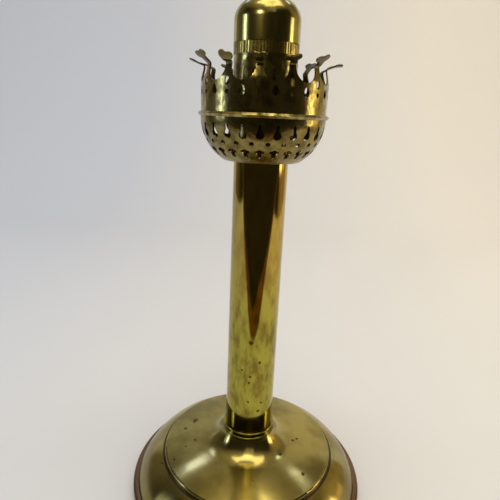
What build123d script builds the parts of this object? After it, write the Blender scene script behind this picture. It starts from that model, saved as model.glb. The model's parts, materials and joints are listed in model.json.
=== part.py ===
from build123d import *
import os
from math import acos, atan2, cos, degrees, hypot, pi, radians, sin, sqrt

# A spring-fed candle lamp in brass: a weighted foot, a straight tube that holds the candle,
# a pierced shade gallery near its top and a domed cap that locks over the mouth of the tube.
# Millimetres and degrees. The origin is on the table under the axis, with +Z up.
# Angles run round the axis from the front of the lamp, which is -Y, towards +X.

# Foot
base_radius = 63.6           # widest circle of the rolled rim
shell_wall = 0.9             # spun brass of the foot
rim_height = 7.6             # rolled rim above the table
rim_width = 2.7              # ledge between the rim and the round shoulder
rim_round = 1.3              # rounding of the rim, over and under
foot_width = 3.4             # turned-in flat that the lamp stands on
shoulder_rise = 14.9         # height of the round shoulder above the rim
shoulder_slope = 71.5        # slope of the shoulder where it leaves the rim
step_radius = 46.1           # small step between shoulder and bell
step_cove = 0.9              # hollow under the step
step_round = 1.2             # rounding over the step
bell_rise = 11.8             # from the step to the neck
bell_slope = 6.0             # slope of the bell where the flare to the neck begins
flare_radius = 13.5          # hollow of that flare
flare_tilt = 23.0            # how far it leans out from upright where it meets the neck

# Inside the foot
weight_gap = 1.0             # room between ballast and shell
weight_headroom = 4.0        # ballast stops this far below the top of the shoulder
web_thickness = 4.0          # ballast between the closing plate and the tube
plate_wall = 0.8             # closing plate
dish_radius = 12.0           # hollow in the plate that hides the nut
stud_radius = 3.0            # threaded rod
stud_end = 0.6               # rod below the nut
nut_flats = 10.0             # across the flats of the hexagon
nut_height = 3.0
nut_headroom = 0.8           # free height between the end of the rod and the table
washer_radius = 8.0
washer_thickness = 1.0
plug_height = 10.0           # plug in the foot of the tube
plug_cover = 2.0             # plug above the end of the rod

# Tube
tube_radius = 12.7           # one inch across
tube_wall = 0.8
tube_above_sleeve = 11.0     # tube that stands up inside the cap
lip_width = 0.6              # mouth of the tube, turned in
lip_height = 1.0
collar_wall = 0.6            # ring at the foot of the tube
collar_height = 3.8
collar_bead = 1.0            # height of the round bead at each end of that ring
collar_bead_reach = 0.35

# Gallery
gallery_height = 182.2       # underside of the gallery above the table
stop_width = 0.7             # ring on the tube that carries it, inside its sleeve
stop_height = 1.2
stop_depth = 12.0            # shoulder in the sleeve that rests on that ring, above the underside
sleeve_length = 44.8
sleeve_wall = 1.3
flange_width = 2.1           # flange at the foot of the sleeve, on the floor of the bowl
flange_thickness = 1.0
sheet_wall = 0.6             # pressed brass of bowl and crown
bowl_depth = 19.2            # from the underside to the seam
bowl_foot_radius = 17.9      # edge of the floor of the bowl
bowl_foot_round = 0.45       # rounding under that edge
bowl_rim_radius = 28.2
seam_height = 2.0            # rolled seam between bowl and crown
seam_overhang = 0.55
ledge_width = 1.0            # seat for the foot of a shade, inside the seam
ledge_drop = 0.3             # that seat lies below the foot of the crown
crown_inset = 0.1            # outside of the crown, inside the rim of the bowl
crown_band_height = 12.0     # from the seam to the bottom of the scallops
stem_height = 6.7            # from there to the bend of a finger
stem_width = 2.8
stem_lean = 1.5              # fingers lean in by this much below the bend
finger_count = 13
first_finger = -4.7          # angle of the finger nearest the front
arm_length = 7.0             # from the bend to the tip of a finger
arm_width = 2.5
head_width = 6.2             # bow-tie head of a finger
head_length = 3.2
head_waist = 0.5             # how far the bow tie narrows on each long side

# Fingers as use has bent them, counted from the front: the rise of every arm, and then
# the few heads turned up or down or about their own arm, and the arms swung to one side
finger_lifts = [12, 14, 30, 20, 26, 48, 30, 26, 30, 24, 20, 38, 6]
bent_heads = {0: 20, 1: 10, 2: 4, 3: -14, 9: -10, 12: 55}
twisted_heads = {6: 10, 11: -6}
swung_arms = {1: -26, 2: -30, 3: 4, 8: 8, 12: 18}

# Piercings
bowl_holes = 24              # openwork repeats round the bowl
first_bowl_hole = -2.0       # angle of the repeat nearest the front
club_depth = 5.6             # centre of the keyhole row, below the rim of the bowl
dot_depth = 10.0             # centre of the round row
cross_depth = 14.3           # centre of the cross row
club_height = 6.4
club_width = 3.6
club_slit = 1.6              # width of the neck of a keyhole, and of the flat below its lobes
club_neck = 3.2              # length of the neck
dot_radius = 1.05
hole_sides = 12              # the small round holes are cut with this many flats
cross_height = 5.0
cross_width = 4.0
cross_bar = 1.8              # height of the bar of a cross
cross_stem = 1.8
drop_height = 8.0            # centre of the drop-shaped holes above the seam, between the fingers
drop_radius = 1.5
eye_height = 11.6            # centre of the long holes above the seam, under each finger
eye_length = 3.3
eye_width = 1.9
eye_end = 0.8                # height of the slanted end of a long hole
spot_height = 7.6            # centre of the round holes under those
spot_radius = 0.95

# Cap
liner_wall = 0.85            # slotted liner inside the cap
liner_cover = 2.5            # liner above its slots
cap_wall = 0.65
cap_side_height = 9.0        # straight side above the grip
dome_rise = 10.4             # rise of the whole dome, without its hole
wick_hole_radius = 4.5
grip_height = 4.4            # milled ring
grip_groove = 0.3            # line between the ring and the cap
flute_count = 72
flute_depth = 0.08
pin_radius = 1.1             # bayonet pins
pin_reach = 0.65             # how far they stand out of the tube
pin_height = 5.5             # above the top of the sleeve
lock_angle = 30.0            # twist that locks the cap

# Candle feed
spring_wire = 1.2
spring_radius = 9.5          # to the middle of the wire
spring_turns = 26
follower_height = 14.0
follower_wall = 0.8
follower_floor = 1.0
candle_pocket = 8.0          # depth of the cup that the candle stands in

# Clearances
seat_gap = 0.05              # between pieces that sit on or in each other
slide_gap = 0.1              # sleeve and liner on the tube
follower_gap = 0.3           # follower in the tube
hole_gap = 0.3               # rod in its holes, pins in their slots, shell round the tube
thread_gap = 0.02            # rod in nut and plug

# Heights above the table that several pieces share
shoulder_top = rim_height + shoulder_rise
bell_edge = shoulder_top + step_cove + step_round
neck_top = bell_edge + bell_rise
plate_bottom = shell_wall + seat_gap
dish_under = nut_headroom + stud_end + nut_height + washer_thickness
dish_top = dish_under + plate_wall
tube_seat = dish_top + seat_gap + web_thickness
plug_top = tube_seat + plug_height
sleeve_top = gallery_height + sleeve_length
tube_top = sleeve_top + tube_above_sleeve
pin_level = sleeve_top + pin_height
bowl_floor_top = gallery_height + sheet_wall
bowl_foot_level = gallery_height + bowl_foot_round
stop_top = gallery_height + stop_depth
seam_bottom = gallery_height + bowl_depth
seam_top = seam_bottom + seam_height
scallop_bottom = seam_top + crown_band_height
bend_level = scallop_bottom + stem_height
grip_bottom = sleeve_top + seat_gap
grip_top = grip_bottom + grip_height
cap_bottom = grip_top + grip_groove
dome_bottom = cap_bottom + cap_side_height

# Radii that several pieces share
shoulder_radius = base_radius - rim_width
neck_hole = tube_radius + hole_gap
neck_radius = neck_hole + shell_wall
tube_bore = tube_radius - tube_wall
stop_radius = tube_radius + stop_width
sleeve_bore = tube_radius + slide_gap
sleeve_radius = sleeve_bore + sleeve_wall
flange_radius = sleeve_radius + flange_width
crown_radius = bowl_rim_radius - crown_inset
crown_bore = crown_radius - sheet_wall
liner_bore = tube_radius + slide_gap
liner_radius = liner_bore + liner_wall
cap_bore = liner_radius + seat_gap
cap_radius = cap_bore + cap_wall
pin_tip = tube_radius + pin_reach
slot_width = 2 * (pin_radius + hole_gap)
follower_radius = tube_bore - follower_gap

os.makedirs("parts", exist_ok=True)


def turned(outline, arc=360):
    """Spin a closed outline of (radius, height) round the axis, starting from +X."""
    return revolve(make_face(Plane.XZ * outline), Axis.Z, revolution_arc=arc)


def spun(path, wall, side=Side.LEFT):
    """A sheet of one thickness: a path of (radius, height), thickened to one side and spun."""
    return turned(offset(Wire(path.edges()), wall, side=side, kind=Kind.ARC))


def ring(inner, outer, bottom, top, arc=360):
    """A plain ring with square edges, or a stretch of one."""
    return turned(Polyline((inner, bottom), (outer, bottom), (outer, top), (inner, top), close=True), arc)


def facing(angle, radius, height, tilt=0.0):
    """A plane whose normal points away from the axis, turned down by tilt, with x along the rim."""
    a = radians(angle)
    t = radians(tilt)
    outward = Vector(sin(a) * cos(t), -cos(a) * cos(t), -sin(t))
    place = (radius * sin(a), -radius * cos(a), height)
    return Plane(origin=place, x_dir=(cos(a), sin(a), 0), z_dir=outward)


def keep(solid, node):
    """Name a piece and write it to its file."""
    solid.label = node
    export_step(solid, f"parts/{node}.step")
    print(f"{node}: {len(solid.solids())} solid, {solid.volume / 1000:.2f} cm3")
    return solid


def shoulder_circle():
    """Centre and radius of the round shoulder, which leaves the rim at its slope and ends at the step."""
    run = shoulder_radius - step_radius - step_cove
    slope = radians(shoulder_slope)
    radius = hypot(run, shoulder_rise) / (2 * sin(slope - atan2(shoulder_rise, run)))
    return shoulder_radius - radius * sin(slope), rim_height - radius * cos(slope), radius


def make_base_shell():
    """Spun foot: turned-in flat, rolled rim, round shoulder, step, bell and flare to the neck."""
    rim_low = rim_round
    rim_high = rim_height - rim_round
    slant = radians(shoulder_slope)
    shoulder_end = (step_radius + step_cove, shoulder_top)
    cove_end = (step_radius, shoulder_top + step_cove)
    cove_off = step_cove * (1 - cos(pi / 4))
    step_off = step_round * (1 - cos(pi / 4))
    slope = radians(bell_slope)
    tilt = radians(flare_tilt)
    flare_centre = (neck_radius + flare_radius * cos(tilt), neck_top + flare_radius * sin(tilt))
    flare_start = (flare_centre[0] - flare_radius * sin(slope), flare_centre[1] - flare_radius * cos(slope))
    half = (pi / 2 - tilt + slope) / 2
    flare_middle = (flare_centre[0] - flare_radius * sin(half), flare_centre[1] - flare_radius * cos(half))
    bell_start = (step_radius - step_round, bell_edge)
    bell = TangentArc(flare_start, bell_start, tangent=(cos(slope), -sin(slope)))
    round_off = rim_round * (1 - cos(pi / 4))
    path = Line((base_radius - foot_width, 0), (base_radius - rim_round, 0))
    path += ThreePointArc(
        (base_radius - rim_round, 0), (base_radius - round_off, round_off), (base_radius, rim_low))
    path += Line((base_radius, rim_low), (base_radius, rim_high))
    path += ThreePointArc(
        (base_radius, rim_high),
        (base_radius - round_off, rim_height - round_off),
        (base_radius - rim_round, rim_height))
    path += Line((base_radius - rim_round, rim_height), (shoulder_radius, rim_height))
    path += TangentArc((shoulder_radius, rim_height), shoulder_end, tangent=(-cos(slant), sin(slant)))
    path += ThreePointArc(shoulder_end, (step_radius + cove_off, shoulder_top + cove_off), cove_end)
    path += ThreePointArc(cove_end, (step_radius - step_off, bell_edge - step_off), bell_start)
    path += ThreePointArc(bell_start, bell @ 0.5, flare_start)
    path += ThreePointArc(flare_start, flare_middle, (neck_radius, neck_top))
    return spun(path, shell_wall)


def make_base_weight():
    """Cast ballast that follows the shoulder, with a socket for the tube and a hollow for the dish."""
    centre, level, shoulder_arc = shoulder_circle()
    arc = shoulder_arc - shell_wall - weight_gap
    weight_bottom = plate_bottom + plate_wall + seat_gap
    weight_top = shoulder_top - weight_headroom
    weight_side = centre + sqrt(arc ** 2 - (rim_height - level) ** 2)
    weight_edge = centre + sqrt(arc ** 2 - (weight_top - level) ** 2)
    middle = (rim_height + weight_top) / 2
    socket = tube_radius + seat_gap
    hollow = dish_radius + plate_wall + hole_gap
    hollow_top = dish_top + seat_gap
    stud_hole = stud_radius + hole_gap
    outline = Polyline(
        (weight_edge, weight_top),
        (socket, weight_top),
        (socket, tube_seat),
        (stud_hole, tube_seat),
        (stud_hole, hollow_top),
        (hollow, hollow_top),
        (hollow, weight_bottom),
        (weight_side, weight_bottom),
        (weight_side, rim_height))
    outline += ThreePointArc(
        (weight_side, rim_height),
        (centre + sqrt(arc ** 2 - (middle - level) ** 2), middle),
        (weight_edge, weight_top))
    return turned(outline)


def make_base_plate():
    """Closing plate, lying on the turned-in flat, with a dish in the middle for the nut."""
    edge = base_radius - shell_wall - rim_round
    path = Polyline(
        (edge, plate_bottom),
        (dish_radius, plate_bottom),
        (dish_radius, dish_under),
        (stud_radius + hole_gap, dish_under))
    return spun(path, plate_wall, Side.RIGHT)


def make_neck_collar():
    """Ring round the foot of the tube, with a round bead at each end."""
    inner = tube_radius + seat_gap
    wall = inner + collar_wall
    crest = wall + collar_bead_reach
    bottom = neck_top + seat_gap
    top = bottom + collar_height
    waist_low = bottom + collar_bead
    waist_high = top - collar_bead
    outline = Polyline((wall, top), (inner, top), (inner, bottom), (wall, bottom))
    outline += ThreePointArc((wall, bottom), (crest, (bottom + waist_low) / 2), (wall, waist_low))
    outline += Line((wall, waist_low), (wall, waist_high))
    outline += ThreePointArc((wall, waist_high), (crest, (waist_high + top) / 2), (wall, top))
    return turned(outline)


def make_column_tube():
    """Straight tube with its mouth turned in, which keeps the follower from leaving it."""
    tube = ring(tube_bore, tube_radius, tube_seat, tube_top)
    tube += ring(tube_bore - lip_width, tube_radius, tube_top - lip_height, tube_top)
    for angle in (90, 270):
        hole = facing(angle, 0, pin_level) * Circle(pin_radius + thread_gap)
        tube -= extrude(hole, tube_radius + pin_reach)
    return tube


def make_bayonet_pins():
    """Two pins set in the wall of the tube."""
    pins = []
    for angle in (90, 270):
        pins.append(extrude(facing(angle, tube_bore, pin_level) * Circle(pin_radius), pin_tip - tube_bore))
    return Compound(children=pins)


def make_tube_plug():
    """Plug in the foot of the tube, tapped for the rod."""
    plug = ring(0, tube_bore - seat_gap, tube_seat, plug_top)
    return plug - ring(0, stud_radius + thread_gap, tube_seat, plug_top - plug_cover)


def make_clamp_stud():
    """Rod that draws the tube down on the ballast."""
    return ring(0, stud_radius, nut_headroom, plug_top - plug_cover - seat_gap)


def make_clamp_washer():
    """Flat washer under the dish of the closing plate."""
    top = dish_under - seat_gap
    return ring(stud_radius + hole_gap, washer_radius, top - washer_thickness + seat_gap, top)


def make_clamp_nut():
    """Hexagon nut under the washer."""
    bottom = nut_headroom + stud_end
    hexagon = RegularPolygon(nut_flats / 2, 6, major_radius=False)
    blank = Pos(0, 0, bottom) * extrude(hexagon, nut_height - seat_gap)
    return blank - ring(0, stud_radius + thread_gap, bottom, bottom + nut_height)


def make_stop_ring():
    """Ring soldered on the tube, hidden in the sleeve of the gallery, which rests on it."""
    return ring(tube_radius + seat_gap, stop_radius, stop_top - stop_height, stop_top)


def make_gallery_sleeve():
    """Flanged sleeve, counterbored over the stop ring, with two keyways that let the bayonet pins pass."""
    flange_bottom = bowl_floor_top + seat_gap
    sleeve = ring(sleeve_bore, sleeve_radius, gallery_height, sleeve_top)
    sleeve += ring(sleeve_bore, flange_radius, flange_bottom, flange_bottom + flange_thickness)
    sleeve -= ring(0, stop_radius + slide_gap, gallery_height, stop_top)
    for angle in (90, 270):
        key = Rectangle(slot_width, 2 * sleeve_length)
        depth = pin_tip + slide_gap
        sleeve -= extrude(facing(angle, 0, gallery_height + sleeve_length / 2) * key, depth)
    return sleeve


def bowl_circle():
    """Outside of the bowl, upright at its rim and ending at the edge of its floor: centre and radius."""
    drop = seam_bottom - bowl_foot_level
    run = bowl_rim_radius - bowl_foot_radius
    radius = (run ** 2 + drop ** 2) / (2 * run)
    return Vector(bowl_rim_radius - radius, seam_bottom), radius


def club():
    """Keyhole piercing: a narrow neck over a six-sided foot."""
    top = club_height / 2
    shoulder = top - club_neck
    widest = (shoulder - top) / 2
    return make_face(Polyline(
        (-club_slit / 2, top),
        (-club_slit / 2, shoulder),
        (-club_width / 2, widest),
        (-club_slit / 2, -top),
        (club_slit / 2, -top),
        (club_width / 2, widest),
        (club_slit / 2, shoulder),
        (club_slit / 2, top),
        close=True))


def cross():
    """Cross piercing: a bar near the top of a short stem."""
    upright = Rectangle(cross_stem, cross_height)
    return upright + Pos(0, cross_height / 4) * Rectangle(cross_width, cross_bar)


def make_gallery_bowl():
    """Pressed bowl with a flat floor, pierced with three rows of holes."""
    centre, radius = bowl_circle()
    foot = Vector(bowl_foot_radius, bowl_foot_level)
    rim = Vector(bowl_rim_radius, seam_bottom)
    away = ((foot + rim) * 0.5 - centre).normalized()
    bowl = spun(ThreePointArc(foot, centre + away * radius, rim), sheet_wall)
    flat_edge = bowl_foot_radius - bowl_foot_round
    round_off = bowl_foot_round * (1 - cos(pi / 4))
    floor = Polyline(
        (bowl_foot_radius, bowl_foot_level),
        (bowl_foot_radius, bowl_floor_top),
        (sleeve_radius + slide_gap, bowl_floor_top),
        (sleeve_radius + slide_gap, gallery_height),
        (flat_edge, gallery_height))
    floor += ThreePointArc(
        (flat_edge, gallery_height),
        (bowl_foot_radius - round_off, gallery_height + round_off),
        (bowl_foot_radius, bowl_foot_level))
    bowl += turned(floor)
    rows = (
        (club(), club_depth, 0.0),
        (RegularPolygon(dot_radius, hole_sides), dot_depth, 0.5),
        (cross(), cross_depth, 0.0))
    tools = []
    for shape, depth, shift in rows:
        out = centre.X + sqrt(radius ** 2 - depth ** 2)
        tilt = degrees(acos((out - centre.X) / radius))
        for i in range(bowl_holes):
            angle = first_bowl_hole + (i + shift) * 360 / bowl_holes
            place = facing(angle, out, seam_bottom - depth, tilt)
            tools.append(extrude(place * shape, 3 * sheet_wall, both=True))
    return bowl - tools


def make_seam_bead():
    """Rolled seam, pinched to a ridge outside, with a flat ledge inside for the foot of a shade."""
    inner = crown_bore - ledge_width
    outer = crown_radius + seam_overhang
    low = seam_bottom + seat_gap
    high = seam_top - seat_gap
    ridge = outer + (high - low) / 2
    outline = Polyline(
        (outer, high),
        (crown_bore - seat_gap, high),
        (crown_bore - seat_gap, high - ledge_drop),
        (inner, high - ledge_drop),
        (inner, low),
        (outer, low),
        (ridge, (low + high) / 2),
        close=True)
    return turned(outline)


def make_finger_arm(lift, bend, twist, swing):
    """Bent-over end of a finger, lying along +X from its bend: a strip and a bow-tie head."""
    tail = arm_length - head_length
    half = head_width / 2
    outline = Polyline(
        (0, -half),
        (head_length, -half),
        (head_length - head_waist, 0),
        (head_length, half),
        (0, half),
        (head_waist, 0),
        close=True)
    head = Pos(tail, 0, 0) * Rot(0, -bend, 0) * Rot(twist, 0, 0) * extrude(make_face(outline), sheet_wall)
    reach = tail + 2 * head_waist
    strip = extrude(Pos(reach / 2, 0) * Rectangle(reach, arm_width), sheet_wall)
    return Rot(0, -lift, 0) * Rot(0, 0, swing) * (strip + head)


def make_gallery_crown():
    """Pierced band whose scalloped top runs out into fingers, bent over to hold a shade."""
    pitch = 360 / finger_count
    gap_radius = (crown_radius * radians(pitch) - stem_width) / 2
    path = Polyline(
        (crown_radius, seam_top),
        (crown_radius, scallop_bottom),
        (crown_radius - stem_lean, bend_level))
    crown = spun(path, sheet_wall)
    scallop_centre = scallop_bottom + gap_radius
    scallop = Circle(gap_radius) + Pos(0, stem_height / 2) * Rectangle(2 * gap_radius, stem_height)
    point = Pos(0, drop_radius) * Rot(0, 0, 45) * Rectangle(drop_radius, drop_radius)
    drop = RegularPolygon(drop_radius, hole_sides) + point
    straight = eye_length / 2 - eye_end
    eye = make_face(Polyline(
        (-eye_width / 2, -straight),
        (0, -eye_length / 2),
        (eye_width / 2, -straight),
        (eye_width / 2, straight),
        (0, eye_length / 2),
        (-eye_width / 2, straight),
        close=True))
    spot = RegularPolygon(spot_radius, hole_sides)
    inside = crown_bore - stem_lean - 3 * sheet_wall
    reach = crown_radius + sheet_wall - inside
    tools = []
    arms = []
    for i in range(finger_count):
        finger = first_finger + i * pitch
        between = finger + pitch / 2
        tools.append(extrude(facing(between, inside, scallop_centre) * scallop, reach))
        tools.append(extrude(facing(between, inside, seam_top + drop_height) * drop, reach))
        tools.append(extrude(facing(finger, inside, seam_top + eye_height) * eye, reach))
        tools.append(extrude(facing(finger, inside, seam_top + spot_height) * spot, reach))
        turns = [heads.get(i, 0) for heads in (bent_heads, twisted_heads, swung_arms)]
        arm = make_finger_arm(finger_lifts[i], *turns)
        arms.append(Rot(0, 0, finger - 90) * Pos(crown_bore - stem_lean, 0, bend_level - sheet_wall) * arm)
    return crown - tools + arms


def make_bayonet_liner():
    """Liner with two hooked slots, open below, that take the pins in and lock them after a twist."""
    top = pin_level + pin_radius + hole_gap + liner_cover
    liner = ring(liner_bore, liner_radius, grip_bottom, top)
    spread = degrees(slot_width / 2 / liner_bore)
    for angle in (90, 270):
        entry = Rectangle(slot_width, pin_level - grip_bottom)
        middle = (pin_level + grip_bottom) / 2
        liner -= extrude(facing(angle, 0, middle) * entry, liner_radius + slide_gap)
        hook = ring(
            liner_bore - slide_gap,
            liner_radius + slide_gap,
            pin_level - slot_width / 2,
            pin_level + slot_width / 2,
            arc=lock_angle + 2 * spread)
        liner -= Rot(0, 0, angle - 90 - lock_angle - spread) * hook
    return liner


def make_grip_ring():
    """Milled ring under the cap, fluted all round."""
    step = 2 * pi / flute_count
    points = []
    for i in range(flute_count):
        points.append((cap_radius * cos(i * step), cap_radius * sin(i * step)))
        valley = cap_radius - flute_depth
        points.append((valley * cos((i + 0.5) * step), valley * sin((i + 0.5) * step)))
    blank = Pos(0, 0, grip_bottom) * extrude(make_face(Polyline(*points, close=True)), grip_height)
    return blank - ring(0, cap_bore, grip_bottom, grip_top)


def dome(radius, rise):
    """Half an upright ellipse above the straight side, from the side to the axis."""
    return EllipticalCenterArc((0, dome_bottom), radius, rise, 0, arc_size=90)


def make_cap_shell():
    """Straight-sided cap with an elliptical dome and a round hole for the wick."""
    solids = []
    for radius, rise in ((cap_radius, dome_rise), (cap_bore, dome_rise - cap_wall)):
        curve = dome(radius, rise)
        outline = curve + Polyline(curve @ 1, (0, cap_bottom), (radius, cap_bottom), curve @ 0)
        solids.append(turned(outline))
    cap = solids[0] - solids[1]
    return cap - ring(0, wick_hole_radius, dome_bottom, dome_bottom + dome_rise + cap_wall)


def make_follower_cup():
    """Piston with a pocket above for the candle and a skirt below round the spring."""
    top = tube_top - lip_height - seat_gap
    floor_top = top - candle_pocket
    cup = ring(0, follower_radius, top - follower_height, top)
    cup -= ring(0, follower_radius - follower_wall, floor_top, top)
    return cup - ring(0, follower_radius - follower_wall, top - follower_height, floor_top - follower_floor)


def make_feed_spring():
    """Wire spring from the plug to the floor of the follower, as half turns of two tangent arcs each."""
    low = plug_top + seat_gap + spring_wire / 2
    high = tube_top - lip_height - seat_gap - candle_pocket - follower_floor - seat_gap - spring_wire / 2
    pitch = (high - low) / spring_turns
    climb = pitch / (2 * pi)

    def at(turn):
        return Vector(spring_radius * cos(turn), spring_radius * sin(turn), low + climb * turn)

    def heading(turn):
        return Vector(-spring_radius * sin(turn), spring_radius * cos(turn), climb).normalized()

    wire = []
    for i in range(2 * spring_turns):
        begin, end = at(pi * i), at(pi * (i + 1))
        set_off, arrive = heading(pi * i), heading(pi * (i + 1))
        span = end - begin
        both = set_off + arrive
        spread = 2 * (1 - set_off.dot(arrive))
        handle = (-span.dot(both) + sqrt(span.dot(both) ** 2 + spread * span.dot(span))) / spread
        turn_out, turn_in = begin + set_off * handle, end - arrive * handle
        joint = (turn_out + turn_in) * 0.5
        wire.append(TangentArc(begin, joint, tangent=set_off))
        wire.append(TangentArc(joint, end, tangent=turn_in - turn_out))
    path = Wire(wire)
    print(f"feed_spring: gap between turns {pitch - spring_wire:.2f} mm, wire {path.length:.0f} mm long")
    return sweep(Plane(origin=path @ 0, z_dir=path % 0) * Circle(spring_wire / 2), path=path)


keep(make_base_shell(), "base_shell")
keep(make_base_weight(), "base_weight")
keep(make_base_plate(), "base_plate")
keep(make_neck_collar(), "neck_collar")
keep(make_column_tube(), "column_tube")
keep(make_bayonet_pins(), "bayonet_pins")
keep(make_tube_plug(), "tube_plug")
keep(make_clamp_stud(), "clamp_stud")
keep(make_clamp_washer(), "clamp_washer")
keep(make_clamp_nut(), "clamp_nut")
keep(make_stop_ring(), "gallery_stop_ring")
keep(make_gallery_sleeve(), "gallery_sleeve")
keep(make_gallery_bowl(), "gallery_bowl")
keep(make_seam_bead(), "seam_bead")
keep(make_gallery_crown(), "gallery_crown")
keep(make_bayonet_liner(), "bayonet_liner")
keep(make_grip_ring(), "grip_ring")
keep(make_cap_shell(), "cap_shell")
keep(make_follower_cup(), "follower_cup")
keep(make_feed_spring(), "feed_spring")
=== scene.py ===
# %% [markdown]
# A brass candle lamp, dressed in Blender around its CAD model. The CAD pieces come in as a fixed
# frame: every solid is already at its real size and place, in metres, with +Z up along the tube.
# This lesson gives each piece its finish, makes the two pierced sheets and the spring anew, and then
# sets up the stage, the light and the camera.

# %% Load the frame
import json
import bpy
import numpy as np
from mathutils import Matrix, Vector


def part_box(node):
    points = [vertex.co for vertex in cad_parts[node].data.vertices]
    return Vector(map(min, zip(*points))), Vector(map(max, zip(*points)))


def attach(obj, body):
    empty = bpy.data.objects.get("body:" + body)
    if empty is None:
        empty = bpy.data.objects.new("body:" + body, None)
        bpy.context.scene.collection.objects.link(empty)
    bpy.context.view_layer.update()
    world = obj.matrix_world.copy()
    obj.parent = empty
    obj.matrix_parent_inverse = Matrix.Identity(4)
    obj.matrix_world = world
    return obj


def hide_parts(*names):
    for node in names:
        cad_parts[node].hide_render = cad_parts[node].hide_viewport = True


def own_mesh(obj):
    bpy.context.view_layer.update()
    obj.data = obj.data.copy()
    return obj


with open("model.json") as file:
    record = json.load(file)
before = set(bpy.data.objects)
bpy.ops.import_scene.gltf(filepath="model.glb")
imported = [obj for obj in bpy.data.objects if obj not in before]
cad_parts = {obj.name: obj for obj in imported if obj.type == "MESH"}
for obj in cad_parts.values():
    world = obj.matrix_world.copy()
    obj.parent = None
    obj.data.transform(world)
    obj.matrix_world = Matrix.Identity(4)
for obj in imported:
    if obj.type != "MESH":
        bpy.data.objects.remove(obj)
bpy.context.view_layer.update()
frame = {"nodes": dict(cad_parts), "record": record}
nodes = frame["nodes"]
mm = 0.001

# %% [markdown]
# Three small helpers carry the whole lesson. Colours are written as sRGB hex values, as a paint chart
# gives them, and the shader wants linear light, so one function converts them. Another adds one node
# with its settings and links, which keeps a material readable as a list of what it is made of. The
# third turns a real size into the scale of a texture.

# %% Colour and node helpers
def colour(hex_value):
    """sRGB hex to linear RGBA: c/12.92 below 0.04045, else ((c + 0.055)/1.055) to the power 2.4."""
    srgb = np.array([int(hex_value[i:i + 2], 16) for i in (1, 3, 5)]) / 255
    linear = np.where(srgb <= 0.04045, srgb / 12.92, ((srgb + 0.055) / 1.055) ** 2.4)
    return (*linear.tolist(), 1.0)


def add(tree, kind, inputs, **settings):
    """One node: settings are its own properties, inputs are values or the outputs that feed it."""
    made = tree.nodes.new(kind)
    for name, value in settings.items():
        setattr(made, name, value)
    for socket, value in inputs.items():
        if isinstance(value, bpy.types.NodeSocket):
            tree.links.new(value, made.inputs[socket])
        else:
            made.inputs[socket].default_value = value
    return made


def per_mm(size):
    """Texture scale that gives features of this size in millimetres on Object coordinates."""
    return 1 / (size * mm)


print("white in linear light:", colour("#ffffff"))

# %% [markdown]
# Almost everything that shows is brass, but no two pieces have the same finish: the foot was spun on a
# lathe and has gone satin and spotted, the tube was drawn and polished, the gallery was pressed from thin
# sheet and is dark inside, partly soot and partly painted shade, and browned at its finger tips, and the cap
# was polished along its length. A brass is built up here in layers, much as on the real thing: the metal with
# its clouds of deeper tone, films of tarnish and painted shade that hide it in places, and relief from the
# tool. A small dictionary, the skin, carries the colour, roughness and normal from one layer to the next.
# Metal keeps the default IOR.

# %% The metal under the finish
finishes = {}


def start_brass(name, clean, toned, cloud_size, stretch, rough):
    """Clean brass with clouds of a deeper tone, drawn out along the tool marks. Noise mixes the two
    colours, and where the tone is deepest the metal is almost half as rough again."""
    material = bpy.data.materials.new(name)
    material.use_nodes = True
    tree = material.node_tree
    place = add(tree, "ShaderNodeTexCoord", {}).outputs["Object"]
    along = add(tree, "ShaderNodeMapping", {"Vector": place, "Scale": stretch}).outputs["Vector"]
    clouds = add(tree, "ShaderNodeTexNoise", {
        "Vector": along, "Scale": per_mm(cloud_size), "Detail": 5.0, "Roughness": 0.6})
    toning = add(tree, "ShaderNodeMapRange", {
        "Value": clouds.outputs["Fac"], "From Min": 0.38, "From Max": 0.66}, interpolation_type="SMOOTHSTEP")
    share = toning.outputs["Result"]
    tone = add(tree, "ShaderNodeMix", {0: share, 6: colour(clean), 7: colour(toned)}, data_type="RGBA")
    dulling = add(tree, "ShaderNodeMapRange", {"Value": share, "To Min": rough, "To Max": 1.4 * rough})
    return {"material": material, "tree": tree, "place": place, "along": along,
            "tone": tone.outputs[2], "rough": dulling.outputs["Result"], "relief": []}


# %% [markdown]
# Tarnish is a thin film with a colour and roughness of its own. On this lamp it comes as broad veils, as
# pinpricks and as larger stains. A Voronoi pattern scatters the pinpricks, which are too many to place. The
# stains are few and catch the eye, so each is put where it belongs, and noise frays its outline.

# %% Films, specks and stains
speck_rough, stain_rough = 0.45, 0.40
fray_size = 1.4


def add_film(skin, share, tone, rough):
    """A film over the metal, mostly tarnish and in a few places painted shade: where the share is 1 it hides
    the metal, with a colour and roughness of its own.
    """
    tree = skin["tree"]
    covered = add(tree, "ShaderNodeMix", {0: share, 6: skin["tone"], 7: colour(tone)}, data_type="RGBA")
    dulled = add(tree, "ShaderNodeMix", {0: share, 2: skin["rough"], 3: rough})
    skin["tone"], skin["rough"] = covered.outputs[2], dulled.outputs[0]


def add_specks(skin, size, share, tone):
    """Pinpricks of tarnish at the middle of a share of the cells of a Voronoi pattern."""
    tree = skin["tree"]
    cells = add(tree, "ShaderNodeTexVoronoi", {"Vector": skin["place"], "Scale": per_mm(size)})
    chosen = add(tree, "ShaderNodeMath", {0: cells.outputs["Color"], 1: 1 - share}, operation="GREATER_THAN")
    dot = add(tree, "ShaderNodeMapRange", {
        "Value": cells.outputs["Distance"], "From Min": 0.06, "From Max": 0.20, "To Min": 0.8, "To Max": 0.0})
    speck = add(tree, "ShaderNodeMath", {
        0: chosen.outputs["Value"], 1: dot.outputs["Result"]}, operation="MULTIPLY")
    add_film(skin, speck.outputs["Value"], tone, speck_rough)


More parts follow.
